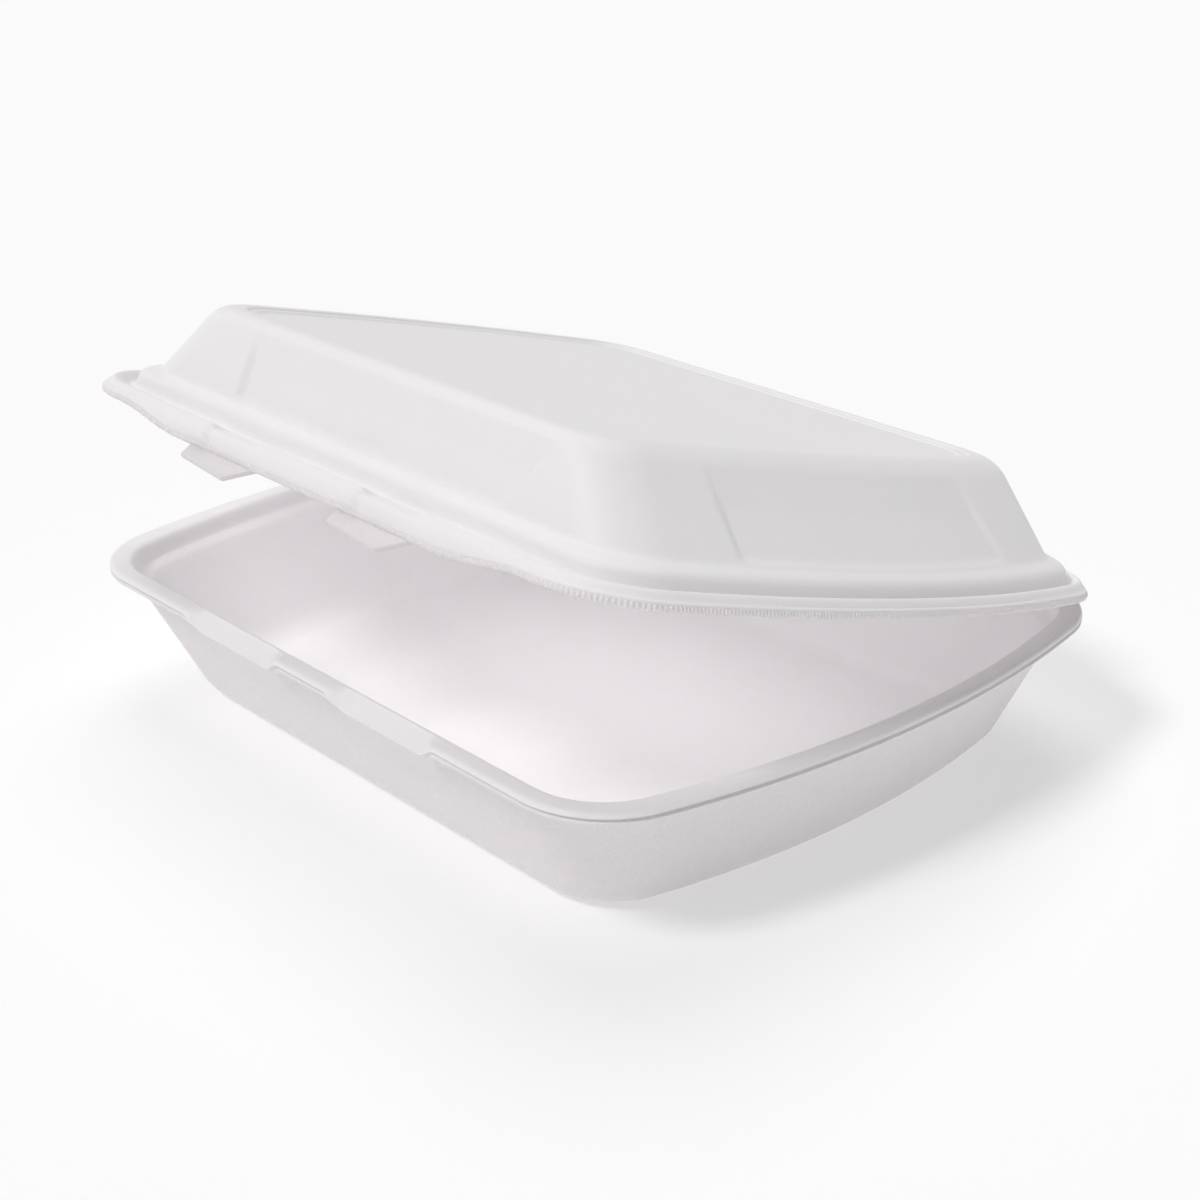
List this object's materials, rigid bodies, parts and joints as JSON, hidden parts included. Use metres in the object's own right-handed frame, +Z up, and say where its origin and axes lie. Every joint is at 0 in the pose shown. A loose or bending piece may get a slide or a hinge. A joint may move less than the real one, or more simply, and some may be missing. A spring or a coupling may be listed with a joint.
{
  "type": "hinged foam food container",
  "caption": "Hinged foam food container: a deep rectangular tray with bowed ends and a shallow domed lid that folds over at a crease, with latch tabs at the front.",
  "frame": {"origin": "on the table, under the middle of the tray's rim", "axes": "+X along the hinge crease, -Y the front with the two tabs, +Z up"},
  "size_m": [0.238, 0.2004, 0.1138],
  "materials": {
    "foam": "white expanded polystyrene foam, matt, with a fine closed cell grain"
  },
  "bodies": {
    "tray": {"tray": "foam"},
    "lid": {"lid": "foam"}
  },
  "joints": [
    {"name": "lid_hinge", "type": "hinge", "parent": "tray", "child": "lid", "pos_m": [0, 0.0972, 0.04015], "axis": [-1, 0, 0], "range_deg": [-15, 163]}
  ]
}
